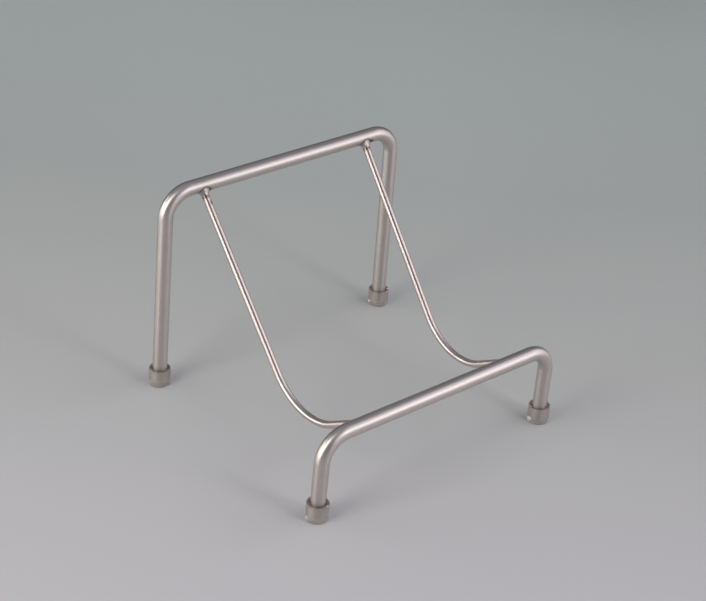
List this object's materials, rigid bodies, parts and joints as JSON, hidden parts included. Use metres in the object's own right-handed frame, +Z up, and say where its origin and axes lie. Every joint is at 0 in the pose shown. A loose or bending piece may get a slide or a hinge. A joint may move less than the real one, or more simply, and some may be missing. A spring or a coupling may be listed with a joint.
{
  "type": "photo album stand",
  "caption": "Welded steel rod stand that holds a photo album leaning back: a tall rear and a low front U frame, J-shaped cradle wires between them and clear foot caps.",
  "frame": {"origin": "on the surface it stands on, midway between the four feet", "axes": "+X to the viewer's right along the bars, +Y from the front bar to the rear bar, +Z up"},
  "size_m": [0.1658, 0.1504, 0.119],
  "materials": {
    "frame_rod": "satin drawn stainless steel",
    "cradle_wire": "bright drawn stainless steel",
    "weld_metal": "brushed weld, lightly heat tinted",
    "clear_cap": "clear soft plastic"
  },
  "bodies": {
    "root": {"rear_frame": "frame_rod", "front_frame": "frame_rod", "left_cradle_wire": "cradle_wire", "rear_left_weld": "weld_metal", "rear_left_foot_cap": "clear_cap", "front_left_weld": "weld_metal", "front_left_foot_cap": "clear_cap", "right_cradle_wire": "cradle_wire", "rear_right_weld": "weld_metal", "rear_right_foot_cap": "clear_cap", "front_right_weld": "weld_metal", "front_right_foot_cap": "clear_cap"}
  },
  "joints": []
}
